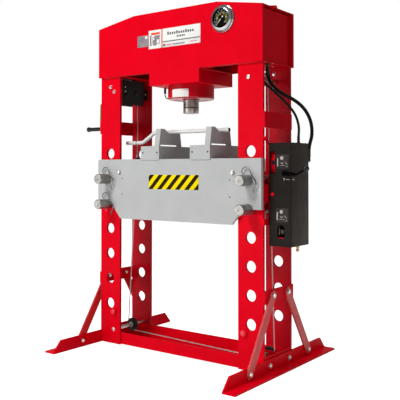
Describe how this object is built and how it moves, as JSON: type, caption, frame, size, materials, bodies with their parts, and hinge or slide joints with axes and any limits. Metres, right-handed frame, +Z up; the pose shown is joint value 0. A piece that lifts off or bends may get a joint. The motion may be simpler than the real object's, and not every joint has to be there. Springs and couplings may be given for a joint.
{
  "type": "hydraulic workshop press",
  "caption": "Floor-standing H-frame hydraulic workshop press with ram cylinder, height-adjustable pinned bed, notched press blocks, side pump unit, gauge and rope winch",
  "frame": {"origin": "on the floor at the centre of the four foot anchor holes, straight under the ram", "axes": "+Z up along the posts, the longest extent; +Y to the rear through the thickness, the shortest extent; +X to the pump unit's side, so the front with the gauge faces -Y"},
  "size_m": [1.549, 1.044, 1.95],
  "materials": {
    "frame_red": "smooth semi-gloss red paint over welded steel",
    "bed_grey": "smooth light grey paint over thick steel plate",
    "zinc_steel": "bright zinc-plated steel",
    "cylinder_steel": "bare steel piston",
    "ram_chrome": "hard-chromed and ground",
    "gauge_chrome": "polished chrome",
    "dial_black": "printed black dial",
    "needle_white": "white pointer",
    "gauge_window": "flat clear glass",
    "box_black": "black powder coat",
    "block_iron": "machined cast iron, oiled",
    "crank_bronze": "yellow-passivated steel",
    "grip_black": "moulded black plastic",
    "fitting_brass": "turned brass",
    "hose_rubber": "black rubber hose",
    "rope_steel": "twisted steel wire rope",
    "plate_white": "printed sheet-metal plate"
  },
  "bodies": {
    "frame": {"balance_rope": "rope_steel", "bed_front_plate": "bed_grey", "bed_rear_plate": "bed_grey", "bed_spacers": "bed_grey", "bleed_tube": "box_black", "box_bracket": "frame_red", "crown_plate": "frame_red", "cylinder_barrel": "frame_red", "cylinder_gland": "frame_red", "drain_fitting": "fitting_brass", "foot_left": "frame_red", "foot_right": "frame_red", "foot_struts": "frame_red", "foot_ties": "frame_red", "frame_bolts": "zinc_steel", "front_base_rail": "frame_red", "front_posts": "frame_red", "gauge_bezel": "gauge_chrome", "gauge_case": "gauge_chrome", "gauge_dial": "dial_black", "gauge_glass": "gauge_window", "head_end_panels": "frame_red", "head_floor": "frame_red", "head_front_plate": "frame_red", "head_rear_plate": "frame_red", "head_top_cover": "frame_red", "hose_fittings": "fitting_brass", "lift_rope": "rope_steel", "lifting_lugs": "frame_red", "lower_side_ties": "frame_red", "name_plates": "plate_white", "press_block_left": "bed_grey", "press_block_right": "bed_grey", "pressure_hose": "hose_rubber", "pulley_axles": "zinc_steel", "pump_bar": "zinc_steel", "pump_block": "block_iron", "pump_box": "box_black", "rear_base_rail": "frame_red", "rear_posts": "frame_red", "return_hose": "hose_rubber", "upper_side_ties": "frame_red", "winch_housing": "box_black"},
    "ram": {"ram_rod": "ram_chrome", "ram_piston": "cylinder_steel"},
    "needle": {"gauge_needle": "needle_white"},
    "pin_upper_left": {"lock_pin_upper_left": "zinc_steel"},
    "pin_upper_right": {"lock_pin_upper_right": "zinc_steel"},
    "pin_lower_left": {"lock_pin_lower_left": "zinc_steel"},
    "pin_lower_right": {"lock_pin_lower_right": "zinc_steel"},
    "valve": {"valve_lever": "grip_black"},
    "socket_upper": {"pump_socket_upper": "frame_red"},
    "socket_lower": {"pump_socket_lower": "frame_red"},
    "drum": {"winch_drum": "block_iron"},
    "crank": {"winch_crank": "crank_bronze"},
    "grip": {"crank_grip": "grip_black"},
    "wheel_low_left": {"pulley_low_left": "block_iron"},
    "wheel_low_right": {"pulley_low_right": "block_iron"},
    "wheel_top": {"pulley_top": "block_iron"}
  },
  "joints": [
    {"name": "ram_slide", "type": "slide", "parent": "frame", "child": "ram", "axis": [0, 0, -1], "range_m": [0, 0.2], "stiffness_N_per_m": 1500, "springref_m": -0.25},
    {"name": "needle_turn", "type": "hinge", "parent": "frame", "child": "needle", "pos_m": [0.337, -0.17, 1.852], "axis": [0, 1, 0], "range_deg": [0, 270], "stiffness_Nm_per_rad": 0.002, "springref_deg": -28.65},
    {"name": "pin_upper_left_slide", "type": "slide", "parent": "frame", "child": "pin_upper_left", "axis": [0, -1, 0], "range_m": [0, 0.45]},
    {"name": "pin_upper_right_slide", "type": "slide", "parent": "frame", "child": "pin_upper_right", "axis": [0, -1, 0], "range_m": [0, 0.45]},
    {"name": "pin_lower_left_slide", "type": "slide", "parent": "frame", "child": "pin_lower_left", "axis": [0, -1, 0], "range_m": [0, 0.45]},
    {"name": "pin_lower_right_slide", "type": "slide", "parent": "frame", "child": "pin_lower_right", "axis": [0, -1, 0], "range_m": [0, 0.45]},
    {"name": "valve_turn", "type": "hinge", "parent": "frame", "child": "valve", "pos_m": [0.686, -0.1, 1.028], "axis": [0, 1, 0], "range_deg": [-60, 70]},
    {"name": "socket_upper_swing", "type": "hinge", "parent": "frame", "child": "socket_upper", "pos_m": [0.5, -0.046, 1.083], "axis": [-1, 0, 0], "range_deg": [-14, 14]},
    {"name": "socket_lower_swing", "type": "hinge", "parent": "frame", "child": "socket_lower", "pos_m": [0.6615, -0.046, 0.7295], "axis": [-1, 0, 0], "range_deg": [-14, 14]},
    {"name": "drum_turn", "type": "hinge", "parent": "frame", "child": "drum", "pos_m": [-0.5, 0.03, 1.52], "axis": [1, 0, 0], "continuous": true},
    {"name": "crank_turn", "type": "hinge", "parent": "frame", "child": "crank", "pos_m": [-0.6, -0.058, 1.50113], "axis": [1, 0, 0], "continuous": true},
    {"name": "grip_turn", "type": "hinge", "parent": "crank", "child": "grip", "pos_m": [-0.66, -0.125, 1.296], "axis": [1, 0, 0], "continuous": true},
    {"name": "wheel_low_left_turn", "type": "hinge", "parent": "frame", "child": "wheel_low_left", "pos_m": [-0.471, 0.02, 0.09], "axis": [0, 1, 0], "continuous": true},
    {"name": "wheel_low_right_turn", "type": "hinge", "parent": "frame", "child": "wheel_low_right", "pos_m": [0.526, -0.008, 0.072], "axis": [0, 1, 0], "continuous": true},
    {"name": "wheel_top_turn", "type": "hinge", "parent": "frame", "child": "wheel_top", "pos_m": [0.488, -0.008, 1.531], "axis": [0, 1, 0], "continuous": true}
  ],
  "couplings": [
    {"joint": "crank_turn", "follows": "drum_turn", "ratio": -2},
    {"joint": "wheel_low_right_turn", "follows": "wheel_low_left_turn", "ratio": 1},
    {"joint": "wheel_top_turn", "follows": "wheel_low_left_turn", "ratio": 1}
  ]
}
